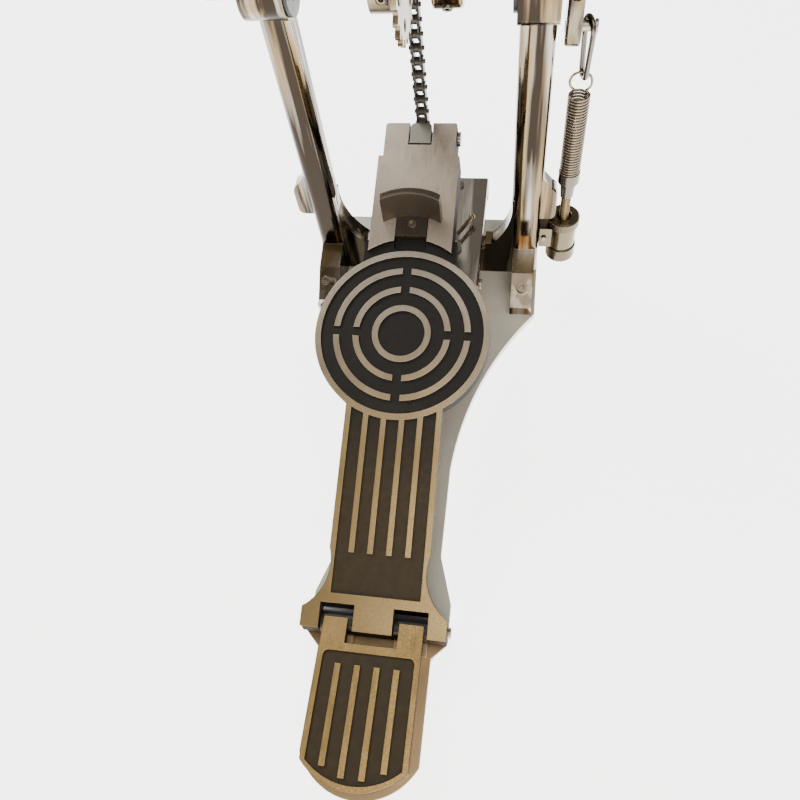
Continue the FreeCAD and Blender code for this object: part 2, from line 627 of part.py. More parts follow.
def end_plan(offset, front):
    """The end block seen from above, its two front corners round."""
    return outline(
        sketch_on(end_block, "XY_Plane", offset),
        ("end_half", "end_rear_v"), ("end_half", f"{front} - 2.6"),
        ("end_half - 0.76", f"{front} - 0.76", "end_half - 2.6", front), ("2.6 - end_half", front),
        ("0.76 - end_half", f"{front} - 0.76", "-end_half", f"{front} - 2.6"),
        ("-end_half", "end_rear_v"),
    )


pad(end_block, end_plan("0", "tip_v"), "end_lip", down=True)
pad(end_block, end_plan("-end_lip", "(tip_v - 1.2)"), "block_deep - end_lip - 0.5", down=True)
tongue = outline(
    sketch_on(end_block, "YZ_Plane"),
    ("chain_v", "chain_n - 3.2"), ("chain_v + 3.2", "chain_n", "chain_v", "chain_n + 3.2"),
    ("tip_v - 4", "chain_n + 3.2"), ("tip_v - 4", "chain_n - 3.2"),
)
pad(end_block, tongue, "4.6", midplane=True)
for spot, radius in ((("cross_pin_v", "cross_pin_n"), "cross_pin_rad"),
                     (("chain_v", "chain_n"), "chain_pin_rad")):
    cut(end_block, ring(sketch_on(end_block, "YZ_Plane"), spot, radius), "40", midplane=True)
subpart(end_block)

cross_bar = rod("cross_bar", "cross_pin_rad - 0.01", "2 * block_tip_half",
                ("-block_tip_half", *CROSS[1:]))
cross_head = rod("cross_head", "cross_pin_rad + 1.8", "2", ("block_tip_half", *CROSS[1:]))
subpart(fuse("cross_pin", cross_bar, cross_head))
subpart(rod("chain_end_pin", "chain_pin_rad - 0.01", "8.6",
            ("-4.3", *on_board(0, "chain_v", "chain_n")[1:])))

# ---------------------------------------------------------------- sprocket, axle and bearings
AXLE = ("0", "post_y", "axle_z")
sprocket = body("drive_sprocket", AXLE)
pad(sprocket, ring(sketch_on(sprocket, "YZ_Plane"), ("0", "0"), f"{pitch_rad:.4f} + 1.2"), "2.6",
    midplane=True)
# each tooth space is a roller's seat, relieved outwards on both sides for a roller that leaves
leaving = chain_pins[STRAIGHT - 1] - axle_centre
leaving_turn = math.atan2(leaving.z, leaving.y) - touch_turn + tooth
for reach, turn, gap in ((pitch_rad, 0, "run_gap"), (leaving.Length, leaving_turn, "0.45"),
                         (leaving.Length, -leaving_turn, "0.45")):
    teeth = sketch_on(sprocket, "YZ_Plane")
    for i in range(int(value("cam_teeth"))):
        if i != WRAPPED:
            angle = touch_turn + tooth * i + turn
            ring(teeth, (f"{reach * math.cos(angle):.4f}", f"{reach * math.sin(angle):.4f}"),
                 f"roller_rad + {gap}")
    cut(sprocket, teeth, "5", midplane=True)
windows = sketch_on(sprocket, "YZ_Plane")
for i in range(5):
    turn = math.radians(72 * i + 20)
    ring(windows, (f"{17 * math.cos(turn):.4f}", f"{17 * math.sin(turn):.4f}"), "3")
cut(sprocket, windows, "5", midplane=True)
anchor = on_pitch_circle(WRAPPED) - axle_centre
cut(sprocket, ring(sketch_on(sprocket, "YZ_Plane"), (f"{anchor.y:.4f}", f"{anchor.z:.4f}"),
                   "chain_pin_rad + run_gap"), "5", midplane=True)
pad(sprocket, ring(sketch_on(sprocket, "YZ_Plane", "-8.15"), ("0", "0"), "12"), "13.7", midplane=True)
cut(sprocket, ring(sketch_on(sprocket, "YZ_Plane"), ("0", "0"), "axle_rad + 0.02"), "60", midplane=True)
cut(sprocket, ring(sketch_on(sprocket, "XZ_Plane"), ("-8.5", "0"), "2.55"), "20", up=True)
subpart(sprocket)


def grub(name, x, turn):
    """A headless socket screw that presses on the axle, at a turn about it from upright."""
    def off_axle(distance):
        return (x, f"post_y - ({distance}) * sin({turn})", f"axle_z + ({distance}) * cos({turn})")
    stem = rod(name + "_stem", "2.5", "6.5", off_axle("axle_rad + 0.02"), ((1, 0, 0), turn))
    drive = rod(name + "_socket", "1.4", "2.5", off_axle("axle_rad + 4.5"), ((1, 0, 0), turn))
    return minus(name, stem, drive)


subpart(grub("sprocket_screw", "-8.5", "90"))
shank = rod("axle_shank", "axle_rad", "house_l_out + 1 + axle_right",
            ("-house_l_out - 1", "post_y", "axle_z"))
free_end = rod("axle_free_end", "axle_end_rad", "axle_left - house_l_out", ("-axle_left", "post_y", "axle_z"))
subpart(fuse("axle", shank, free_end))

BEARING_X = ("-house_l_in - bearing_wide", "house_r_in")


def race(name, outer, inner, x):
    shell = rod(name + "_shell", outer, "bearing_wide", (x, "post_y", "axle_z"))
    hole = rod(name + "_hole", inner, "bearing_wide + 2", (f"{x} - 1", "post_y", "axle_z"))
    return minus(name, shell, hole)


subpart(group("bearing_outer_rings", *[race(f"outer_race_{i}", "bearing_rad - 0.02", "9.6", x)
                                       for i, x in enumerate(BEARING_X)]))
subpart(group("bearing_inner_rings", *[race(f"inner_race_{i}", "6.4", "axle_rad + 0.01", x)
                                       for i, x in enumerate(BEARING_X)]))
balls = []
for i, x in enumerate(BEARING_X):
    for k in range(8):
        turn = 45 * k
        ball = doc.addObject("Part::Sphere", f"ball_{i}_{k}")
        ball.Radius = 1.55
        place(ball, (f"{x} + bearing_wide / 2", f"post_y + 8 * cos({turn})", f"axle_z + 8 * sin({turn})"))
        balls.append(ball)
subpart(group("bearing_balls", *balls))
covers = []
for i, x in enumerate(("-house_l_in + 0.05", "house_r_in - 2.05")):
    shell = rod(f"cover_shell_{i}", "house_rad - 1.2", "2", (x, "post_y", "axle_z"))
    hole = rod(f"cover_hole_{i}", "axle_rad + 0.4", "4", (f"{x} - 1", "post_y", "axle_z"))
    covers.append(minus(f"cover_{i}", shell, hole))
subpart(group("bearing_covers", *covers))

# ---------------------------------------------------------------- beater
LEAN = ((1, 0, 0), "lean")
SHAFT_OFF = "(axle_rad + shaft_rad + 2)"


def on_beater(u, across_text, along):
    """Where a point given along the beater shaft is; the shaft leans back to the player."""
    return (f"{u}", f"post_y + ({across_text}) * cos(lean) - ({along}) * sin(lean)",
            f"axle_z + ({across_text}) * sin(lean) + ({along}) * cos(lean)")


hub = body("beater_hub", ("beater_x", "post_y", "axle_z"), LEAN)
hub_side = outline(
    sketch_on(hub, "YZ_Plane"),
    (f"{SHAFT_OFF} + 8", "-8.5"), (f"{SHAFT_OFF} + 8", "8.5"), ("0", "10.5"),
    ("-10.5", "0", "0", "-10.5"),
)
pad(hub, hub_side, "15", midplane=True)
fillet(hub, 2, lambda e: abs(abs(middle(e).x - value("beater_x")) - 7.5) < 0.01)
cut(hub, ring(sketch_on(hub, "YZ_Plane"), ("0", "0"), "axle_rad + 0.02"), "20", midplane=True)
cut(hub, ring(sketch_on(hub, "XY_Plane"), ("0", SHAFT_OFF), "shaft_rad + run_gap"), "60", midplane=True)
cut(hub, ring(sketch_on(hub, "XZ_Plane", f"-({SHAFT_OFF}) - 12"), ("0", "0"), "2.95"), "9",
    up=True)
cut(hub, ring(sketch_on(hub, "XZ_Plane", "14"), ("0", "0"), "2.55"), "12")
subpart(hub)
subpart(grub("hub_screw", "beater_x", "lean + 90"))

BOLT_TURN = ((1, 0, 0), "lean - 90")
bolt_at = on_beater("beater_x", f"{SHAFT_OFF} + shaft_rad + 0.1", "0")
key_stem = rod("key_stem", "2.9", "10", bolt_at, BOLT_TURN)
key_collar = rod("key_collar", "4.6", "1.6", on_beater("beater_x", f"{SHAFT_OFF} + 10.5", "0"), BOLT_TURN)
key_head = block("key_head", ("5.8", "5.8", "7"),
                 on_beater("beater_x - 2.9", f"{SHAFT_OFF} + 12", "2.9"), BOLT_TURN)
subpart(fuse("beater_key_bolt", key_stem, key_collar, key_head))

SHAFT_FROM = "-26"
subpart(rod("beater_shaft", "shaft_rad", "shaft_long", on_beater("beater_x", SHAFT_OFF, SHAFT_FROM), LEAN))
core = body("beater_core", on_beater("beater_x", SHAFT_OFF, "shaft_long - 44"), LEAN)
pad(core, ring(sketch_on(core, "XZ_Plane"), ("0", "0"), "23"), "16", midplane=True)
cut(core, ring(sketch_on(core, "XY_Plane", "20"), ("0", "0"), "shaft_rad + 0.01"), "60")
fillet(core, 1.5, lambda e: e.Length > 140)
subpart(core)
felt = body("beater_felt", on_beater("beater_x", f"{SHAFT_OFF} + 8.05", "shaft_long - 44"), LEAN)
pad(felt, ring(sketch_on(felt, "XZ_Plane"), ("0", "0"), "25"), "19", down=True)
fillet(felt, 5, lambda e: e.Length > 150 and middle(e).y > value(on_beater(0, SHAFT_OFF, 0)[1]) - 100
       and felt.Placement.inverse().multVec(middle(e)).y > 10)
subpart(felt)
face = body("beater_hard_face", on_beater("beater_x", f"{SHAFT_OFF} - 8.05", "shaft_long - 44"), LEAN)
pad(face, ring(sketch_on(face, "XZ_Plane"), ("0", "0"), "22"), "7")
fillet(face, 3, lambda e: e.Length > 130 and face.Placement.inverse().multVec(middle(e)).y < -5)
subpart(face)

# ---------------------------------------------------------------- post frame
POST_TOP = "(axle_z - house_rad + 2.5)"
frame = body("post_frame", ("0", "post_y", "0"))
POST_IN, POST_OUT = "(post_x - post_wide / 2)", "(post_x + post_wide / 2)"
crossbar = outline(
    sketch_on(frame, "XZ_Plane"),
    ("post_x", BASE_TOP), ("post_x", "74"), (POST_IN, "74"),
    (f"{POST_IN} - 6", "44", f"{POST_IN} - 24", "26"), (f"-{POST_IN} + 24", "26"),
    (f"-{POST_IN} + 6", "44", f"-{POST_IN}", "74"), ("-post_x", "74"), ("-post_x", BASE_TOP),
)
pad(frame, crossbar, "post_deep - 3", midplane=True)
for side in (-1, 1):
    post = sketch_on(frame, "XY_Plane", BASE_TOP)
    rounded_box(post, f"{side} * post_x", "0", "post_wide / 2", "post_deep / 2", "5.5")
    pad(frame, post, f"{POST_TOP} - {BASE_TOP}")
house = sketch_on(frame, "YZ_Plane", "-(house_l_in + house_l_out) / 2")
pad(frame, ring(house, ("0", "axle_z"), "house_rad"), "house_l_out - house_l_in", midplane=True)
house = sketch_on(frame, "YZ_Plane", "(house_r_in + house_r_out) / 2")
rounded_box(house, "0", "axle_z", "house_box", "house_box", "7")
pad(frame, house, "house_r_out - house_r_in", midplane=True)
for side in (-1, 1):
    # the lug on the outer side of the post, tapered at its top
    lug = sketch_on(frame, "XZ_Plane")
    outline(lug, (f"{side} * ({POST_OUT} - 2)", "58"), (f"{side} * ({POST_OUT} + 4.8)", "58"),
            (f"{side} * ({POST_OUT} + 7.63)", "59.17", f"{side} * ({POST_OUT} + 8.8)", "62"),
            (f"{side} * ({POST_OUT} + 8.8)", "75"),
            (f"{side} * ({POST_OUT} + 8)", "79.5", f"{side} * ({POST_OUT} + 5)", "83"),
            (f"{side} * ({POST_OUT} - 2)", "92"))
    pad(frame, lug, "9", midplane=True)
    # the foot in front of the post, sloped for its spur screw
    shoe = sketch_on(frame, "YZ_Plane", f"{side} * post_x")
    outline(shoe, ("2", BASE_TOP), ("-42", BASE_TOP), ("-42", "15"), ("-24", "28"), ("-7", "33"),
            ("2", "33"))
    pad(frame, shoe, "14", midplane=True)
stub = sketch_on(frame, "XZ_Plane")
box_outline(stub, "39", "47", "20", "35")
pad(frame, stub, "11", midplane=True)
for side in (-1, 1):
    # the long groove down the outer side
    groove = sketch_on(frame, "YZ_Plane", f"{side} * ({POST_OUT} - 1.5)")
    outline(groove, ("3.4", "180"), ("0", "183.4", "-3.4", "180"), ("-3.4", "104"),
            ("0", "100.6", "3.4", "104"))
    cut(frame, groove, "3.02", midplane=True)
    tapped = sketch_on(frame, "YZ_Plane", f"{side} * ({POST_OUT} + 4)")
    cut(frame, ring(tapped, ("0", "69"), "2.5"), "10", midplane=True)
    spur_way = sketch_on(frame, "XY_Plane", BASE_TOP)
    spur_way.AttachmentOffset = FreeCAD.Placement(
        V(side * value("post_x"), value(SPUR_TOP[0]) - value("post_y"), value(SPUR_TOP[1])),
        FreeCAD.Rotation(V(1, 0, 0), SPUR_TILT))
    spur_way.setExpression("AttachmentOffset.Base.z", bound(SPUR_TOP[1]))
    cut(frame, ring(spur_way, ("0", "0"), "3.05"), "120", midplane=True)
for x, wide in (("-house_l_in - bearing_wide / 2 + 1.5", "bearing_wide + 3"),
                ("house_r_in + bearing_wide / 2 - 1", "bearing_wide + 2")):
    seat = sketch_on(frame, "YZ_Plane", x)
    cut(frame, ring(seat, ("0", "axle_z"), "bearing_rad"), wide, midplane=True)
cut(frame, ring(sketch_on(frame, "YZ_Plane"), ("0", "axle_z"), "axle_rad + 1"), "200", midplane=True)
taps = sketch_on(frame, "XY_Plane", BASE_TOP)
for x, y in FRAME_BOLTS:
    ring(taps, (x, "0"), "3.05")
cut(frame, taps, "13", up=True)
bracket_tap = sketch_on(frame, "YZ_Plane", f"{POST_OUT}")
cut(frame, ring(bracket_tap, ("0", "bracket_low + 8"), "2.55"), "20", midplane=True)
subpart(frame)

for node, side in (("spur_screw_left", -1), ("spur_screw_right", 1)):
    stem = spur(node + "_stem", side, "3", "23.5", "-15.5")
    point = cone(node + "_point", "0.4", "3", "4",
                 (f"{side} * post_x", f"{SPUR_TOP[0]} + 19.5 * sin({SPUR_TILT})",
                  f"{SPUR_TOP[1]} - 19.5 * cos({SPUR_TILT})"), ((1, 0, 0), SPUR_TILT))
    socket = spur(node + "_socket", side, "1.6", "4", "5")
    subpart(minus(node, fuse(node + "_body", stem, point), socket))

# ---------------------------------------------------------------- spring, rocker and adjuster
rocker = body("spring_rocker", AXLE)
rocker_side = outline(
    sketch_on(rocker, "YZ_Plane", "rocker_x"),
    ("12.5", "0"), ("0", "12.5", "-12.5", "0"), ("-9", "-rocker_arm"),
    ("0", "-rocker_arm - 9", "9", "-rocker_arm"),
)
pad(rocker, rocker_side, "2 * rocker_half", midplane=True)
fillet(rocker, 1.5, lambda e: abs(abs(middle(e).x - value("rocker_x")) - value("rocker_half")) < 0.01)
cut(rocker, ring(sketch_on(rocker, "YZ_Plane"), ("0", "0"), "axle_rad + 0.02"), "200", midplane=True)
cut(rocker, ring(sketch_on(rocker, "YZ_Plane"), ("0", "-rocker_arm"), "2.5"), "200", midplane=True)
cut(rocker, ring(sketch_on(rocker, "XZ_Plane"), ("rocker_x", "0"), "2.55"), "20", up=True)
subpart(rocker)
subpart(grub("rocker_screw", "rocker_x", "90"))
pivot = ("post_y", "axle_z - rocker_arm")
pivot_bar = rod("pivot_bar", "2.49", "14.2", ("77", *pivot))
pivot_head = rod("pivot_head", "3.2", "1.6", ("91.1", *pivot))
subpart(fuse("rocker_pin", pivot_bar, pivot_head))

LINK_TURN = 20
HOOK_DROP = "1.2"


def hook_shape():
    """A wire drop: a wide arc over the rocker's pin, drawn in to a narrow one at the spring's eye."""
    wide, narrow, wire = 5.2, 3.2, 1.4
    top, low = V(0, 0, 0), V(0, 0, value(f"spring_high + 12.7 + {HOOK_DROP} - ({pivot[1]})"))
    swing = math.asin((wide - narrow) / (top - low).Length)
    side = V(0, math.cos(swing), -math.sin(swing))
    sides = [side, V(0, -side.y, side.z)]
    hang = [top + s * wide for s in sides]
    foot_ends = [low + s * narrow for s in sides]
    path = Part.Wire([
        Part.Arc(hang[1], top + V(0, 0, wide), hang[0]).toShape(),
        Part.LineSegment(hang[0], foot_ends[0]).toShape(),
        Part.Arc(foot_ends[0], low - V(0, 0, narrow), foot_ends[1]).toShape(),
        Part.LineSegment(foot_ends[1], hang[1]).toShape(),
    ])
    section = Part.Wire(Part.makeCircle(wire, hang[0], path.Edges[1].tangentAt(0)))
    return path.makePipeShell([section], True, True)


hook = doc.addObject("Part::Feature", "spring_hook")
hook.Shape = hook_shape()
place(hook, ("spring_x + 0.8", "post_y", f"{pivot[1]} - {HOOK_DROP}"), ((0, 0, 1), LINK_TURN))
subpart(hook)

coil = rod("coil_outside", "spring_rad", "spring_high - spring_low", ("spring_x", "post_y", "spring_low"),
           ((0, 0, 1), "0"))
coil_hole = rod("coil_inside", "spring_rad - 1.5", "spring_high", ("spring_x", "post_y", "0"),
                ((0, 0, 1), "0"))
coil_body = minus("coil_body", coil, coil_hole)
eye = doc.addObject("Part::Torus", "spring_eye")
eye.Radius1, eye.Radius2 = 5.8, 0.75
place(eye, ("spring_x", "post_y", "spring_high + 6.2"), ((1, 0, 0), "90"))
subpart(fuse("return_spring", coil_body, eye))

UP = ((0, 0, 1), "0")


def ring_rod(name, outer, inner, low, high):
    """A ring round the adjuster's axis, from a low height to a high one."""
    shell = rod(name + "_shell", outer, f"{high} - ({low})", ("spring_x", "post_y", low), UP)
    hole = rod(name + "_hole", inner, "200", ("spring_x", "post_y", "1"), UP)
    return minus(name, shell, hole)


collar = rod("collar_cup", "spring_rad + 0.2", "7.5", ("spring_x", "post_y", "spring_low - 7.7"), UP)
neck = cone("collar_neck", "3.8", "4.6", "12", ("spring_x", "post_y", "spring_low - 19.4"), UP)
collar_hole = rod("collar_hole", "3.01", "17.5", ("spring_x", "post_y", "spring_low - 20"), UP)
subpart(minus("spring_collar", fuse("collar_body", collar, neck), collar_hole))
subpart(rod("tension_rod", "3", "spring_low - 3.2 - 26", ("spring_x", "post_y", "26"), UP))
subpart(ring_rod("tension_knob", "knob_rad", "3.06", "bracket_high + 0.3", "bracket_high + 7.4"))
subpart(ring_rod("tension_cup", "knob_rad - 0.6", "3.06", "bracket_low - 11", "bracket_low - 0.3"))

arm = block("bracket_arm", ("spring_x - post_x - post_wide / 2 - 0.05", "11", "bracket_high - bracket_low"),
            (f"{POST_OUT} + 0.05", "post_y - 5.5", "bracket_low"))
eyelet = rod("bracket_eyelet", "knob_rad - 1.4", "bracket_high - bracket_low",
             ("spring_x", "post_y", "bracket_low"), UP)
bore = rod("bracket_bore", "3.1", "200", ("spring_x", "post_y", "1"), UP)
pocket = rod("bracket_tap", "2.55", "11", (f"{POST_OUT} - 1", "post_y", "bracket_low + 8"))
subpart(minus("spring_bracket", fuse("bracket_body", arm, eyelet), bore, pocket))
subpart(rod("bracket_stud", "2.5", "14", (f"{POST_OUT} - 7", "post_y", "bracket_low + 8")))
subpart(rod("bracket_rivet", "1.7", "1.2", ("76.6", "post_y - 5.5", "bracket_low + 8"), ((1, 0, 0), "90")))

# ---------------------------------------------------------------- hoop clamp
clamp = body("clamp_plate")
clamp_side = outline(
    sketch_on(clamp, "YZ_Plane"),
    ("clamp_rear", "clamp_z - clamp_thick"), ("clamp_front - 4.6", "clamp_z - clamp_thick"),
    ("clamp_front - 2.6", "27"), ("clamp_front - 6", "23"), ("clamp_front - 1", "23"),
    ("clamp_front", "27"), ("clamp_front - 2.4", "clamp_z"), ("clamp_rear", "clamp_z"),
)
pad(clamp, clamp_side, "2 * clamp_half", midplane=True)
for side in (-1, 1):
    flange = sketch_on(clamp, "YZ_Plane", f"{side} * (clamp_half - clamp_thick / 2)")
    outline(flange, ("clamp_rear", "clamp_pivot_z - 6"), ("clamp_rear + 16", "clamp_pivot_z - 6"),
            ("clamp_rear + 24", "clamp_z - 6"), ("clamp_front - 12", "clamp_z - 6"),
            ("clamp_front - 5", "clamp_z - 1"), ("clamp_rear", "clamp_z - 1"))
    pad(clamp, flange, "clamp_thick", midplane=True)
fillet(clamp, 1.6, lambda e: abs(middle(e).z - value("clamp_z")) < 0.01
       and abs(abs(middle(e).x) - value("clamp_half")) < 0.01)
cut(clamp, ring(sketch_on(clamp, "YZ_Plane"), ("clamp_pivot_y", "clamp_pivot_z"), "2.55"),
    "3 * clamp_half", midplane=True)
cut(clamp, ring(sketch_on(clamp, "XY_Plane", "clamp_z + 1"), ("screw_x", "screw_y"), "5.4"), "6")
rivet_holes = sketch_on(clamp, "XY_Plane", "clamp_z + 1")
for side in (-1, 1):
    ring(rivet_holes, (f"{side} * 18", "clamp_front - 10"), "2.02")
cut(clamp, rivet_holes, "6")
subpart(clamp)

PIVOT = ("clamp_pivot_y", "clamp_pivot_z")
hinge_bracket = body("clamp_bracket")
pad(hinge_bracket, box_outline(sketch_on(hinge_bracket, "XY_Plane", BASE_TOP), "-34", "34",
                               "clamp_pivot_y - 7", "clamp_pivot_y + 9"), "3")
for side in (-1, 1):
    ear = sketch_on(hinge_bracket, "YZ_Plane", f"{side} * 32.5")
    outline(ear, ("clamp_pivot_y + 9", BASE_TOP), ("clamp_pivot_y + 4.5", "clamp_pivot_z"),
            ("clamp_pivot_y", "clamp_pivot_z + 4.5", "clamp_pivot_y - 4.5", "clamp_pivot_z"),
            ("clamp_pivot_y - 7", BASE_TOP))
    pad(hinge_bracket, ear, "3", midplane=True)
cut(hinge_bracket, ring(sketch_on(hinge_bracket, "YZ_Plane"), PIVOT, "2.52"), "100", midplane=True)
bracket_taps = sketch_on(hinge_bracket, "XY_Plane", BASE_TOP)
for spot in BRACKET_BOLTS:
    ring(bracket_taps, spot, "3.05")
cut(hinge_bracket, bracket_taps, "3", up=True)
subpart(hinge_bracket)
pivot_rod = rod("clamp_pivot_bar", "2.5", "2 * clamp_half + 1.2", ("-clamp_half - 0.6", *PIVOT))
pivot_ends = [rod(f"clamp_pivot_end_{i}", "4", "1.5", (x, *PIVOT))
              for i, x in enumerate(("clamp_half + 0.1", "-clamp_half - 1.6"))]
subpart(fuse("clamp_pivot_pin", pivot_rod, *pivot_ends))

stem = rod("clamp_stem", "4", "clamp_z + 9.5 - 4", ("screw_x", "screw_y", "4"), UP)
shoulder = rod("clamp_shoulder", "7", "1.6", ("screw_x", "screw_y", "clamp_z + 0.8"), UP)
head = rod("clamp_head", "5", "7.5", ("screw_x", "screw_y", "clamp_z + 2.4"), UP)
bar_way = V(0.4757, 0.8796, 0)
BAR_LENGTH = 50


def bar(name, radius, length):
    new = doc.addObject("Part::Cylinder", name)
    new.Radius, new.Height = radius, length
    middle_point = V(value("screw_x"), value("screw_y"), value("clamp_z") + 5.6)
    new.Placement = FreeCAD.Placement(middle_point - bar_way * (length / 2),
                                      FreeCAD.Rotation(V(0, 0, 1), bar_way))
    return new


subpart(minus("clamp_screw", fuse("clamp_screw_body", stem, shoulder, head), bar("tbar_hole", 1.6, 20)))
ends = []
for i, sense in enumerate((-1, 1)):
    tip = doc.addObject("Part::Sphere", f"tbar_tip_{i}")
    tip.Radius = 2.2
    tip.Placement = FreeCAD.Placement(
        V(value("screw_x"), value("screw_y"), value("clamp_z") + 5.6) + bar_way * (sense * BAR_LENGTH / 2),
        FreeCAD.Rotation())
    ends.append(tip)
subpart(fuse("clamp_tbar", bar("tbar_rod", 1.5, BAR_LENGTH), *ends))
nut_shell = rod("nut_shell", "6", "8", ("screw_x", "screw_y", "sole_thick + 0.2"), UP)
nut_hole = rod("nut_hole", "4.05", "20", ("screw_x", "screw_y", "1"), UP)
subpart(minus("clamp_nut", nut_shell, nut_hole))

pad_low = body("hoop_pad_lower", ("0", "0", BASE_TOP))
pad(pad_low, box_outline(sketch_on(pad_low, "XY_Plane"), "-34", "34", "160", "185.5"), "3")
subpart(pad_low)
pad_high = body("hoop_pad_upper", ("0", "0", "23"))
pad(pad_high, box_outline(sketch_on(pad_high, "XY_Plane"), "-34", "34", "clamp_front - 5.6",
                          "clamp_front - 1.2"), "2.5", down=True)
subpart(pad_high)
rivets = []
for i, side in enumerate((-1, 1)):
    spot = (f"{side} * 18", "clamp_front - 10")
    shank = rod(f"rivet_shank_{i}", "2", "4", (*spot, "clamp_z - 3.5"), UP)
    top = rod(f"rivet_top_{i}", "3.2", "1.2", (*spot, "clamp_z"), UP)
    low = rod(f"rivet_low_{i}", "3.2", "1.2", (*spot, "clamp_z - clamp_thick - 1.2"), UP)
    rivets.append(fuse(f"rivet_{i}", shank, top, low))
subpart(group("clamp_rivets", *rivets))

# ---------------------------------------------------------------- check and write
doc.recompute()
for obj in doc.Objects:
    assert not {"Invalid", "Error"} & set(obj.State), f"{obj.Name} failed"
for obj in SUBPARTS:
    assert not obj.Shape.isNull() and obj.Shape.isValid(), f"{obj.Label} has a bad shape"
    assert obj.Shape.Solids, f"{obj.Label} has no solid"
os.makedirs("parts", exist_ok=True)
for old in os.listdir("parts"):
    os.remove(os.path.join("parts", old))
for obj in SUBPARTS:
    obj.Shape.exportStep(os.path.join("parts", obj.Label + ".step"))
print(len(SUBPARTS), "sub-parts written")
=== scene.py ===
import json
import math
import random

import bmesh
import bpy
from mathutils import Matrix, Vector


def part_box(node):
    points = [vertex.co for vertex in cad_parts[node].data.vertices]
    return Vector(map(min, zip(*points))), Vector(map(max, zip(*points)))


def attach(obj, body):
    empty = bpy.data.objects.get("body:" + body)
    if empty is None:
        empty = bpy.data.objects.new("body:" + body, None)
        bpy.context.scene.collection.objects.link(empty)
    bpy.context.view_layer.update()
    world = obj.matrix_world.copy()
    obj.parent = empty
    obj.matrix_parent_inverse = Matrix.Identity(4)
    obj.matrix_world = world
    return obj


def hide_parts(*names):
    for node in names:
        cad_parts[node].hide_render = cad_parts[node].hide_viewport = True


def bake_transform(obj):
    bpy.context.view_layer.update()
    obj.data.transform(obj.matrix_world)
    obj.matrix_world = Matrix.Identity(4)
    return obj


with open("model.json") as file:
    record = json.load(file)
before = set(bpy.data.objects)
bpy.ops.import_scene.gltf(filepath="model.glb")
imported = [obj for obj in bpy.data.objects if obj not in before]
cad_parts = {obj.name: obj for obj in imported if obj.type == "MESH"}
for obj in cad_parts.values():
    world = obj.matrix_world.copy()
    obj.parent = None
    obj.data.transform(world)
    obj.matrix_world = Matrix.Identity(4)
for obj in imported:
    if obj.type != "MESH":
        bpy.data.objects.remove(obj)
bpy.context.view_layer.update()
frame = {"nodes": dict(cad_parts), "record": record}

MM = 0.001

# the footboard slopes up from the line where it meets the heel plate
BOARD_TILT = math.radians(16.9)
FOLD = Vector((0, -120, 25)) * MM
BOARD_NORMAL = Vector((0, -math.sin(BOARD_TILT), math.cos(BOARD_TILT)))
BOARD_ALONG = Vector((0, math.cos(BOARD_TILT), math.sin(BOARD_TILT)))

# the beater leans back at rest
LEAN = math.radians(38)
SHAFT_WAY = Vector((0, -math.sin(LEAN), math.cos(LEAN)))
STRIKE_WAY = Vector((0, math.cos(LEAN), math.sin(LEAN)))


def middle_of(node):
    low, high = (Vector(corner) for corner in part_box(node))
    return (low + high) / 2


# ---------------------------------------------------------------- shader building blocks
class Tree:
    """A material's node tree, with a short call for each kind of node it uses."""

    def __init__(self, name):
        self.material = bpy.data.materials.new(name)
        self.material.use_nodes = True
        self.nodes = self.material.node_tree.nodes
        self.links = self.material.node_tree.links
        self.surface = self.nodes["Principled BSDF"]
        self.where = self.add("TexCoord").outputs["Object"]

    def add(self, kind, inputs=None, **properties):
        new = self.nodes.new("ShaderNode" + kind)
        for key, item in properties.items():
            setattr(new, key, item)
        for key, item in (inputs or {}).items():
            self.feed(new.inputs[key], item)
        return new

    def feed(self, socket, item):
        if isinstance(item, bpy.types.NodeSocket):
            self.links.new(item, socket)
        else:
            socket.default_value = item

    def set(self, **inputs):
        for key, item in inputs.items():
            self.feed(self.surface.inputs[key.replace("_", " ")], item)
        return self

    def stretched(self, scale=(1, 1, 1), turn=(0, 0, 0)):
        mapping = self.add("Mapping", {"Vector": self.where, "Scale": scale, "Rotation": turn})
        return mapping.outputs["Vector"]

    def noise(self, scale, detail=3.0, rough=0.55, vector=None):
        inputs = {"Vector": vector or self.where, "Scale": scale, "Detail": detail, "Roughness": rough}
        return self.add("TexNoise", inputs).outputs["Fac"]

    def cells(self, scale):
        return self.add("TexVoronoi", {"Vector": self.where, "Scale": scale}).outputs["Distance"]

    def span(self, item, low, high, to_low=0.0, to_high=1.0):
        inputs = {0: item, 1: low, 2: high, 3: to_low, 4: to_high}
        return self.add("MapRange", inputs, clamp=True).outputs[0]

    def math(self, operation, first, second=0.0):
        return self.add("Math", {0: first, 1: second}, operation=operation).outputs[0]

    def along(self, direction, point=(0, 0, 0)):
        """How far the surface is along a direction from a point, in metres."""
        offset = self.add("VectorMath", {0: self.where, 1: tuple(point)}, operation="SUBTRACT")
        dot = self.add("VectorMath", {0: offset.outputs[0], 1: tuple(direction)}, operation="DOT_PRODUCT")
        return dot.outputs["Value"]

    def facing(self, direction):
        """1 where the surface faces a direction, 0 on the walls beside it."""
        normal = self.add("TexCoord").outputs["Normal"]
        dot = self.add("VectorMath", {0: normal, 1: tuple(direction)}, operation="DOT_PRODUCT")
        return self.span(dot.outputs["Value"], 0.70, 0.90)

    def blend(self, factor, first, second):
        inputs = {"Factor": factor, 6: colour(first), 7: colour(second)}
        return self.add("Mix", inputs, data_type="RGBA").outputs[2]

    def bump(self, height, strength, distance=0.0002, below=None):
        inputs = {"Height": height, "Strength": strength, "Distance": distance}
        if below is not None:
            inputs["Normal"] = below
        return self.add("Bump", inputs).outputs["Normal"]

    def soft_edges(self, radius=0.35 * MM):
        """A normal that rounds sharp edges over as real castings and plates are."""
        return self.add("Bevel", {"Radius": radius}, samples=4).outputs["Normal"]


def colour(item):
    return (*item, 1.0) if isinstance(item, tuple) and len(item) == 3 else item


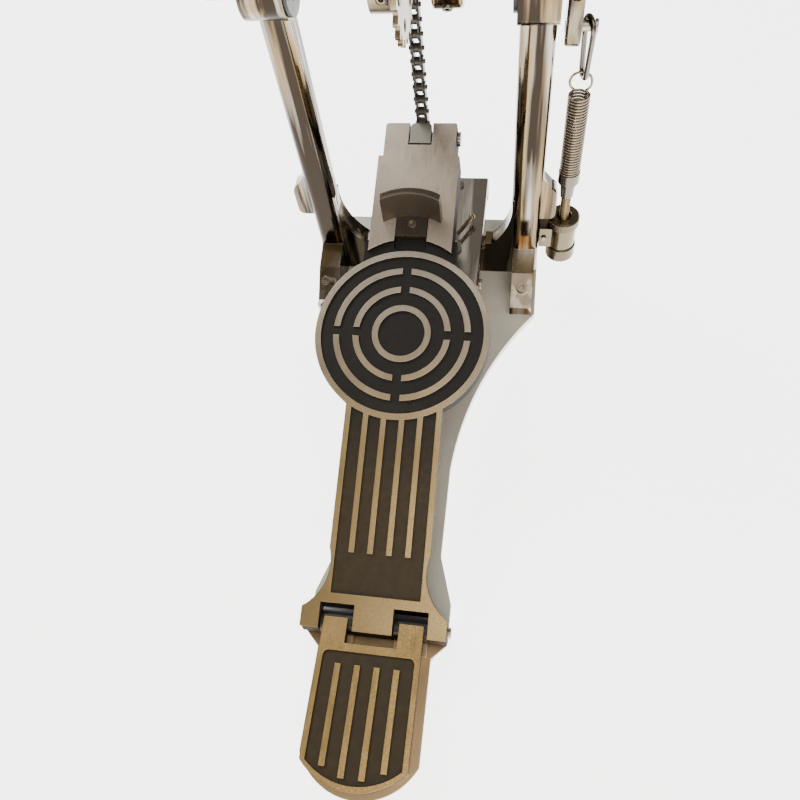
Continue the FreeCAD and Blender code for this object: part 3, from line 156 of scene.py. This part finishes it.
def scaled(tone, times):
    return tuple(min(channel * times, 1.0) for channel in tone)


def smudges(tree, low, high):
    """Roughness that varies over the surface as handling leaves it."""
    return tree.span(tree.noise(38, 4), 0.3, 0.72, low, high)


# ---------------------------------------------------------------- materials
def cast_board(name, normal, bare_rear_with_warm_reflection, bare_front, paint_rear, paint_front):
    """A casting: bare ground metal on its raised faces, dark paint below them and on its walls. Its bare
    metal carries a painted warm reflection, golden near the heel and fading towards the toe, and a painted
    sheen.
    """
    tree = Tree(name)
    raised = tree.span(tree.along(normal, FOLD), -0.75 * MM, -0.25 * MM)
    upward = tree.facing(normal)
    bare = tree.math("MULTIPLY", raised, upward)
    length = tree.along(BOARD_ALONG, FOLD)
    # painted warm reflection: the bare metal is golden near the heel and turns grey towards the toe
    warm_reflection_fade = tree.span(length, 0.10, 0.20)
    grind = tree.noise(900, 2, vector=tree.stretched((1, 0.12, 0.12)))
    speckle = tree.noise(1500, 2)
    sheen = tree.span(tree.noise(17, 2), 0.36, 0.64)
    dull = tree.blend(warm_reflection_fade, scaled(bare_rear_with_warm_reflection, 0.66), scaled(bare_front, 0.84))
    bright = tree.blend(warm_reflection_fade, scaled(bare_rear_with_warm_reflection, 1.22), scaled(bare_front, 1.12))
    ground_tone = tree.blend(tree.span(speckle, 0.30, 0.72), dull, tree.blend(sheen, dull, bright))
    near = tree.span(length, 0.08, 0.13)
    paint = tree.blend(near, paint_rear, paint_front)
    dusty = tree.blend(near, scaled(paint_rear, 1.35), scaled(paint_front, 1.6))
    mottled = tree.blend(tree.span(tree.noise(260, 3), 0.35, 0.75), paint, dusty)
    chips = tree.math("MULTIPLY", tree.span(tree.noise(420, 5, 0.7), 0.70, 0.76), 0.25)
    tree.set(Base_Color=tree.blend(bare, tree.blend(chips, mottled, bare_rear_with_warm_reflection), ground_tone))
    tree.set(Metallic=tree.span(bare, 0, 1, 0.0, 0.96))
    tree.set(Specular_IOR_Level=tree.span(upward, 0, 1, 0.02, 0.28))
    metal_rough = tree.math("ADD", tree.span(grind, 0.3, 0.7, 0.27, 0.36), smudges(tree, 0.0, 0.08))
    tree.set(Roughness=tree.add("Mix", {"Factor": bare, 2: 0.52, 3: metal_rough}).outputs[0])
    texture = tree.add("Mix", {"Factor": bare, 2: tree.noise(700, 3), 3: grind}).outputs[0]
    tree.set(Normal=tree.bump(texture, 0.12, 0.12 * MM, tree.soft_edges(0.5 * MM)))
    return tree.material


def chromed(name, light, reflected_gold, dark, rough, run=(1, 1, 0.05), painted_top_reflection=True):
    """Polished chrome whose colour is painted reflection: long warm and dark streaks of a room, and a
    painted reflection on faces that turn up.
    """
    tree = Tree(name)
    # painted reflection: light, warm and dark streaks stretched along the part
    reflected_bands = tree.noise(105, 3, 0.6, tree.stretched(run))
    glints = tree.noise(190, 2, 0.5, tree.stretched(run, (0.02, 0.03, 0)))
    warm = tree.blend(tree.span(glints, 0.44, 0.58), light, reflected_gold)
    tone = tree.blend(tree.span(reflected_bands, 0.43, 0.55), warm, dark)
    # painted reflection on faces that turn up, in place of the streaks
    if painted_top_reflection:
        slow = tree.span(tree.noise(34, 2), 0.40, 0.62)
        tone = tree.blend(tree.facing((0, 0, 1)), tone, tree.blend(slow, reflected_gold, light))
    tree.set(Base_Color=tone, Metallic=1.0)
    tree.set(Roughness=tree.math("ADD", smudges(tree, rough, rough + 0.09),
                                 tree.span(tree.noise(650, 4, 0.7), 0.66, 0.78, 0.0, 0.25)))
    wavy = tree.bump(tree.noise(32, 2), 0.22, 1.2 * MM, tree.soft_edges(0.6 * MM))
    tree.set(Normal=tree.bump(tree.noise(900, 2), 0.04, 0.08 * MM, wavy))
    return tree.material


def plated(name, tone, rough, wave=0.10, grain=None):
    """Polished or brushed plating over a casting: slow waviness, fine grain and handling marks."""
    tree = Tree(name)
    tint = tree.blend(tree.span(tree.noise(24, 4), 0.3, 0.7), scaled(tone, 0.86), tone)
    pits = tree.span(tree.noise(650, 4, 0.7), 0.70, 0.78)
    tree.set(Base_Color=tree.blend(tree.math("MULTIPLY", pits, 0.55), tint, scaled(tone, 0.35)))
    tree.set(Metallic=1.0)
    fine = tree.noise(900, 2, vector=tree.stretched(grain or (1, 1, 1)))
    tree.set(Roughness=tree.math("ADD", smudges(tree, rough, rough + 0.10),
                                 tree.span(fine, 0.35, 0.65, 0.0, 0.08 if grain else 0.03)))
    normal = tree.bump(tree.noise(32, 2), wave, 1.2 * MM, tree.soft_edges(0.6 * MM))
    tree.set(Normal=tree.bump(fine, 0.16 if grain else 0.04, 0.08 * MM, normal))
    return tree.material


def painted(name, tone, rough=0.42, metallic=0.0, orange_peel=0.12, wear=None):
    """Paint with slight orange peel, dust in its tone and small chips through to the metal."""
    tree = Tree(name)
    dust = tree.blend(tree.span(tree.noise(30, 5), 0.35, 0.72), tone, scaled(tone, 1.22))
    if wear:
        chips = tree.span(tree.noise(240, 6, 0.72), 0.66, 0.72)
        dust = tree.blend(chips, dust, wear)
        tree.set(Metallic=tree.math("MULTIPLY", chips, 0.9))
    else:
        tree.set(Metallic=metallic)
    tree.set(Base_Color=dust)
    tree.set(Roughness=smudges(tree, rough - 0.06, rough + 0.10))
    tree.set(Normal=tree.bump(tree.noise(520, 2), orange_peel, 0.10 * MM, tree.soft_edges()))
    return tree.material


def enamelled(name, tone):
    """Pale enamel, with painted shade near black round the heel hinge, between the hinge barrels and under
    the board's lugs.
    """
    tree = Tree(name)
    dust = tree.blend(tree.span(tree.noise(30, 5), 0.35, 0.72), tone, scaled(tone, 1.15))
    rearward = tree.along((0, -1, 0))
    # painted shade: near black behind the hinge across the middle and under the board's hinge lugs, where
    # the board shades the base; it also dulls the sheen there
    middle = tree.math("MULTIPLY", tree.span(tree.along((1, 0, 0)), -37 * MM, -35 * MM),
                       tree.span(tree.along((-1, 0, 0)), -28 * MM, -26 * MM))
    notch_shade = tree.math("MULTIPLY", middle, tree.span(rearward, 94 * MM, 97 * MM))
    shade_under_lugs = tree.span(rearward, 103 * MM, 106 * MM)
    painted_hinge_shade = tree.math("MULTIPLY", tree.math("MAXIMUM", notch_shade, shade_under_lugs),
                       tree.span(tree.noise(120, 3), 0.0, 0.3, 0.8, 1.0))
    tree.set(Base_Color=tree.blend(painted_hinge_shade, dust, (0.012, 0.011, 0.010)))
    tree.set(Metallic=tree.span(painted_hinge_shade, 0, 1, 0.2, 0.0))
    tree.set(Roughness=smudges(tree, 0.26, 0.40), Specular_IOR_Level=tree.span(painted_hinge_shade, 0, 1, 0.5, 0.04))
    tree.set(Normal=tree.bump(tree.noise(520, 2), 0.12, 0.10 * MM, tree.soft_edges()))
    return tree.material


def rubber(name):
    """Black ribbed rubber, greyed by dust."""
    tree = Tree(name)
    ribs = tree.add("TexWave", {"Vector": tree.where, "Scale": 160.0, "Distortion": 0.0},
                    bands_direction="X").outputs["Fac"]
    tone = tree.blend(tree.span(tree.noise(60, 5), 0.4, 0.75), (0.018, 0.018, 0.019), (0.06, 0.058, 0.055))
    tree.set(Base_Color=tone, Roughness=smudges(tree, 0.68, 0.85))
    fine = tree.bump(tree.noise(900, 2), 0.3, 0.1 * MM)
    tree.set(Normal=tree.bump(ribs, 0.25, 0.3 * MM, fine))
    return tree.material


def wool_felt(name):
    """Pale wool felt, flattened and greyer in patches where it strikes."""
    tree = Tree(name)
    fibres = tree.noise(700, 6, 0.75, tree.stretched((1, 0.35, 1)))
    clumps = tree.noise(90, 5, 0.6)
    tone = tree.blend(tree.span(fibres, 0.3, 0.7), (0.50, 0.47, 0.40), (0.86, 0.84, 0.77))
    struck = tree.span(tree.along(STRIKE_WAY, middle_of("beater_felt")), 7 * MM, 10 * MM)
    worn = tree.blend(tree.math("MULTIPLY", struck, tree.span(clumps, 0.45, 0.6)), tone, (0.45, 0.42, 0.36))
    tree.set(Base_Color=worn, Roughness=0.95, Sheen_Weight=0.5, Sheen_Roughness=0.6)
    normal = tree.bump(clumps, 0.35, 1.0 * MM)
    tree.set(Normal=tree.bump(fibres, 0.7, 0.4 * MM, normal))
    return tree.material


def moulded(name, tone):
    """Moulded plastic with a fine cell grain."""
    tree = Tree(name)
    grain = tree.cells(900)
    tree.set(Base_Color=tree.blend(tree.span(tree.noise(45, 4), 0.4, 0.7), tone, scaled(tone, 1.6)))
    tree.set(Roughness=smudges(tree, 0.42, 0.6))
    tree.set(Normal=tree.bump(grain, 0.18, 0.12 * MM, tree.soft_edges()))
    return tree.material


MATERIALS = {
    # each board's first bare tone is golden: painted warm reflection, over all the heel plate and fading
    # along the footboard
    "footboard": cast_board("board_bare_and_paint", BOARD_NORMAL, (0.50, 0.36, 0.17), (0.53, 0.465, 0.385),
                            (0.034, 0.025, 0.012), (0.0075, 0.0068, 0.0056)),
    "heel_plate": cast_board("heel_bare_and_paint", (0, 0, 1), (0.58, 0.39, 0.16), (0.53, 0.465, 0.385),
                             (0.032, 0.023, 0.010), (0.0075, 0.0068, 0.0056)),
    "toe_stop": painted("stop_taupe", (0.040, 0.032, 0.023), 0.30, 0.35),
    "base_enamel": enamelled("base_light_grey", (0.66, 0.65, 0.58)),
    "sole_rubber": rubber("sole_rubber_ribbed"),
    # the chrome tones below are painted reflections of the room: light, warm and dark streaks
    "frame_chrome": chromed("chrome_casting", (0.34, 0.31, 0.27), (0.22, 0.16, 0.085), (0.025, 0.019, 0.014),
                            0.07),
    "clamp_plate": chromed("chrome_plate", (0.86, 0.84, 0.80), (0.56, 0.52, 0.46), (0.30, 0.275, 0.24), 0.12,
                           (1, 0.06, 1), False),
    "spring_rocker": chromed("chrome_rocker", (0.21, 0.18, 0.13), (0.20, 0.14, 0.06), (0.022, 0.018, 0.014),
                             0.09),
    "spring_hook": plated("hook_dark_chrome", (0.16, 0.145, 0.125), 0.14, 0.08),
    "spring_bracket": plated("bracket_bronzed", (0.17, 0.14, 0.09), 0.20, 0.06),
    "tension_knob": plated("knob_bronzed", (0.13, 0.105, 0.07), 0.20, 0.05),
    "heel_base": plated("heel_base_champagne", (0.52, 0.38, 0.22), 0.30, 0.06),
    "bright_steel": plated("steel_ground", (0.40, 0.38, 0.33), 0.20, 0.03, (0.05, 1, 1)),
    "clamp_tbar": plated("tbar_bronzed", (0.20, 0.15, 0.09), 0.22, 0.04),
    "tension_rod": plated("rod_brassed", (0.36, 0.27, 0.15), 0.22, 0.03),
    "spring_collar": plated("collar_steel", (0.17, 0.15, 0.12), 0.16, 0.05),
    "screw_steel": plated("steel_zinc", (0.24, 0.21, 0.16), 0.24, 0.04),
    "dark_steel": painted("steel_blackened", (0.009, 0.009, 0.010), 0.34, 0.1),
    "chain_black": painted("chain_oxide", (0.020, 0.018, 0.016), 0.30, 0.5, 0.1, (0.20, 0.17, 0.13)),
    "end_block_alloy": plated("alloy_satin", (0.30, 0.29, 0.26), 0.38, 0.05, (1, 0.1, 0.1)),
    "sprocket_nickel": plated("nickel_cast", (0.26, 0.21, 0.14), 0.22, 0.12),
    "spring_nickel": plated("nickel_wire", (0.25, 0.205, 0.15), 0.18, 0.02),
    "beater_plastic": moulded("beater_black_moulded", (0.022, 0.022, 0.024)),
    "felt": wool_felt("felt_wool"),
}

slot_of = {part["node"]: part["material_slot"] for part in frame["record"]["subparts"]}
for node, obj in frame["nodes"].items():
    finish = MATERIALS.get(node) or MATERIALS[slot_of[node]]
    for slot in obj.material_slots:
        slot.material = finish


# ---------------------------------------------------------------- mesh building blocks
def mesh_object(name, mesh_bm, finish, smooth=True):
    mesh = bpy.data.meshes.new(name)
    bmesh.ops.recalc_face_normals(mesh_bm, faces=mesh_bm.faces)
    mesh_bm.to_mesh(mesh)
    mesh_bm.free()
    obj = bpy.data.objects.new(name, mesh)
    bpy.context.collection.objects.link(obj)
    mesh.materials.append(MATERIALS[finish])
    for polygon in mesh.polygons:
        polygon.use_smooth = smooth
    return obj


def bridge(mesh_bm, lower, upper):
    """Joins two rings of the same count by a band of four-sided faces."""
    sides = len(lower)
    for k in range(sides):
        mesh_bm.faces.new((lower[k], lower[(k + 1) % sides], upper[(k + 1) % sides], upper[k]))


def close_ends(mesh_bm, rings):
    mesh_bm.faces.new(list(reversed(rings[0])))
    mesh_bm.faces.new(rings[-1])


def tube_along(name, points, radius, finish, sides):
    """A round wire through a list of points, with its cross-section carried along without twist."""
    wire = bmesh.new()
    rings = []
    side_way = (points[1] - points[0]).normalized().orthogonal()
    for i, point in enumerate(points):
        way = (points[min(i + 1, len(points) - 1)] - points[max(i - 1, 0)]).normalized()
        side_way = (side_way - way * side_way.dot(way)).normalized()
        up_way = way.cross(side_way)
        ring = []
        for k in range(sides):
            turn = 2 * math.pi * k / sides
            spoke = side_way * math.cos(turn) + up_way * math.sin(turn)
            ring.append(wire.verts.new(point + spoke * radius))
        rings.append(ring)
    for low, high in zip(rings, rings[1:]):
        bridge(wire, low, high)
    close_ends(wire, rings)
    return mesh_object(name, wire, finish)


def threaded_rod(name, base, length, radius, pitch, finish):
    """An upright screw thread: a section that winds round the axis with its ridge at each pitch."""
    way = Vector((0, 0, 1))
    side = way.orthogonal().normalized()
    up = way.cross(side)
    depth = pitch * 0.55
    sides = 28
    steps_per_turn = 6
    levels = int(length / pitch * steps_per_turn)
    rod = bmesh.new()
    rings = []
    for level in range(levels + 1):
        along = length * level / levels
        ring = []
        for k in range(sides):
            turn = 2 * math.pi * k / sides
            phase = (along / pitch - k / sides) % 1.0
            ridge = abs(phase - 0.5) * 2
            fade = min(1.0, along / pitch, (length - along) / pitch)
            reach = radius - depth * (1 - ridge) * max(fade, 0.15)
            spoke = side * math.cos(turn) + up * math.sin(turn)
            ring.append(rod.verts.new(base + way * along + spoke * reach))
        rings.append(ring)
    for low, high in zip(rings, rings[1:]):
        bridge(rod, low, high)
    close_ends(rod, rings)
    return mesh_object(name, rod, finish, smooth=False)


# ---------------------------------------------------------------- return spring
def wound_spring():
    """The coil, with its foot in the collar and its head bent up into an eye."""
    low, high = (Vector(corner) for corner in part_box("return_spring"))
    centre_x, centre_y = (low.x + high.x) / 2, (low.y + high.y) / 2
    seat, coil_high = low.z + 0.8 * MM, low.z + 51.6 * MM
    # two narrower turns sit down inside the collar, so the spring still meets it when the knob draws it down
    coil_low = seat - 3.8 * MM
    wire, radius, turns = 0.72 * MM, 5.25 * MM, 29
    steps = 20
    taper = 0.8 * MM
    points = []
    for i in range(turns * steps + 1):
        turn = 2 * math.pi * i / steps
        height = coil_low + (coil_high - coil_low) * i / (turns * steps)
        reach = radius - taper * max(0.0, (seat - height) / (seat - coil_low))
        points.append(Vector((centre_x + reach * math.cos(turn), centre_y + reach * math.sin(turn), height)))
    # the last turn bends up into the eye, which stands on edge across the pedal
    eye_radius = 5.6 * MM
    eye_centre = Vector((centre_x, centre_y, coil_high + 7.1 * MM))
    start_turn, eye_sweep, eye_steps, rise_steps = math.radians(-62), math.radians(310), 36, 6
    eye_start = eye_centre + Vector((math.cos(start_turn), 0, math.sin(start_turn))) * eye_radius
    points += [points[-1].lerp(eye_start, t / rise_steps) for t in range(1, rise_steps)]
    for i in range(eye_steps + 1):
        turn = start_turn + eye_sweep * i / eye_steps
        spoke = Vector((math.cos(turn), 0.10 * math.sin(turn / 2), math.sin(turn)))
        points.append(eye_centre + spoke * eye_radius)
    spring = tube_along("return_spring_wire", points, wire, "spring_nickel", sides=8)
    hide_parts("return_spring")
    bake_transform(spring)


wound_spring()


# ---------------------------------------------------------------- adjuster: rod, knob and cup
def upright(node):
    """The foot of a node's upright axis, and its lowest and highest corners."""
    low, high = (Vector(corner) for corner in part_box(node))
    return Vector(((low.x + high.x) / 2, (low.y + high.y) / 2, 0)), low, high


def tension_rod():
    centre, low, high = upright("tension_rod")
    rod = threaded_rod("tension_rod_thread", centre + Vector((0, 0, low.z)), high.z - low.z,
                       3 * MM, 1 * MM, "tension_rod")
    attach(rod, "adjuster")
    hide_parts("tension_rod")


def knurled(name, node, body, teeth, groove):
    """A round nut whose rim is cut by fine grooves, with chamfered ends and a through hole."""
    centre, low, high = upright(node)
    radius = (high.x - low.x) / 2
    bore = 3.1 * MM
    chamfer = 0.9 * MM
    profile = [(bore, low.z, 0), (radius - chamfer, low.z, 0), (radius, low.z + chamfer, 1),
               (radius, high.z - chamfer, 1), (radius - chamfer, high.z, 0),
               (bore + 1.7 * MM, high.z, 0), (bore, high.z - 2.4 * MM, 0)]
    nut = bmesh.new()
    sides = teeth * 4
    rings = []
    for reach, height, cut in profile:
        ring = []
        for k in range(sides):
            turn = 2 * math.pi * k / sides
            deep = groove * cut if k % 4 in (0, 1) else 0
            ring.append(nut.verts.new(centre + Vector(((reach - deep) * math.cos(turn),
                                                       (reach - deep) * math.sin(turn), height))))
        rings.append(ring)
    for lower, upper in zip(rings, rings[1:] + rings[:1]):
        bridge(nut, lower, upper)
    obj = mesh_object(name, nut, "tension_knob", smooth=False)
    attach(obj, body)
    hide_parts(node)


tension_rod()
knurled("tension_knob_knurled", "tension_knob", "knob", 60, 0.10 * MM)
knurled("tension_cup_turned", "tension_cup", "base", 30, 0.02 * MM)


# ---------------------------------------------------------------- beater felt
def felt_head():
    """The felt disc: a lathed crown with a fluffed skin, dished a little where it strikes."""
    centre = middle_of("beater_felt")
    across = Vector((1, 0, 0))
    radius, thick = 24.2 * MM, 18.2 * MM
    rng = random.Random(7)
    # how far out, as a share of the radius, and how far along, as a share of the thickness
    profile = [(0.0, -0.5), (0.55, -0.5), (0.93, -0.5), (0.985, -0.42), (1.0, -0.25), (1.0, 0.05),
               (0.985, 0.2), (0.93, 0.36), (0.82, 0.45), (0.62, 0.485), (0.35, 0.49), (0.0, 0.485)]
    felt = bmesh.new()
    sides = 96
    rings = []
    for reach, along in profile[1:-1]:
        ring = []
        for k in range(sides):
            turn = 2 * math.pi * k / sides
            fluff = 1 + rng.uniform(-0.008, 0.008) * (along > -0.45)
            spot = (across * math.cos(turn) + SHAFT_WAY * math.sin(turn)) * (radius * reach * fluff)
            ring.append(felt.verts.new(centre + spot + STRIKE_WAY * (thick * along)))
        rings.append(ring)
    for lower, upper in zip(rings, rings[1:]):
        bridge(felt, lower, upper)
    for ring, along in ((rings[0], profile[0][1]), (rings[-1], profile[-1][1])):
        hub = felt.verts.new(centre + STRIKE_WAY * (thick * along))
        for k in range(sides):
            felt.faces.new((ring[k], ring[(k + 1) % sides], hub))
    obj = mesh_object("beater_felt_fluffed", felt, "felt")
    smooth = obj.modifiers.new("soft", "SUBSURF")
    smooth.levels = smooth.render_levels = 1
    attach(obj, "beater")
    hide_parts("beater_felt")


felt_head()


# ---------------------------------------------------------------- stage, light and camera
def glowing_floor(side, height, tone, glow):
    """A plain pale floor that gives off light, so that it stays nearly white round the object."""
    bpy.ops.mesh.primitive_plane_add(size=1, location=(0, 0, height))
    plane = bpy.context.object
    plane.name = "floor"
    plane.scale = (side, side, 1)
    tree = Tree("floor_finish")
    tree.set(Base_Color=colour(tone), Roughness=0.9)
    tree.set(Emission_Color=colour(tone), Emission_Strength=glow)
    plane.data.materials.append(tree.material)


def area_light(name, location, target, size, power, tone):
    data = bpy.data.lights.new(name, "AREA")
    data.shape = "RECTANGLE"
    data.size, data.size_y = size
    data.energy = power
    data.color = tone
    lamp = bpy.data.objects.new(name, data)
    bpy.context.collection.objects.link(lamp)
    lamp.location = location
    way = Vector(target) - Vector(location)
    lamp.rotation_euler = way.to_track_quat("-Z", "Y").to_euler()


glowing_floor(6, -0.5 * MM, (0.92, 0.92, 0.92), 4.2)
area_light("key_window", (-0.9, 0.9, 1.5), (0, 0, 0.05), (1.0, 0.7), 20, (1.0, 0.98, 0.95))
area_light("fill_overhead", (0.5, -0.6, 1.7), (0, 0, 0.05), (1.4, 1.4), 15, (1.0, 0.97, 0.92))
area_light("warm_player_side", (0.1, -1.1, 0.45), (0, -0.1, 0.03), (0.9, 0.35), 6, (1.0, 0.72, 0.42))

world = bpy.data.worlds.new("room")
bpy.context.scene.world = world
world.use_nodes = True
world.node_tree.nodes["Background"].inputs["Color"].default_value = (0.80, 0.74, 0.66, 1)
world.node_tree.nodes["Background"].inputs["Strength"].default_value = 0.45

CAMERA_AT = Vector((63.6, -188.9, 399.9)) * MM
CAMERA_TILT = math.radians(30.63)
CAMERA_HEADING = math.radians(17.62)
CAMERA_ROLL = math.radians(-11.69)
camera_data = bpy.data.cameras.new("camera")
camera_data.sensor_width = 36
camera_data.lens = 32.49
camera_data.clip_start = 0.01
camera = bpy.data.objects.new("camera", camera_data)
bpy.context.collection.objects.link(camera)
camera.matrix_world = (Matrix.Translation(CAMERA_AT) @ Matrix.Rotation(CAMERA_HEADING, 4, "Z")
                       @ Matrix.Rotation(CAMERA_TILT, 4, "X") @ Matrix.Rotation(CAMERA_ROLL, 4, "Z"))
bpy.context.scene.camera = camera
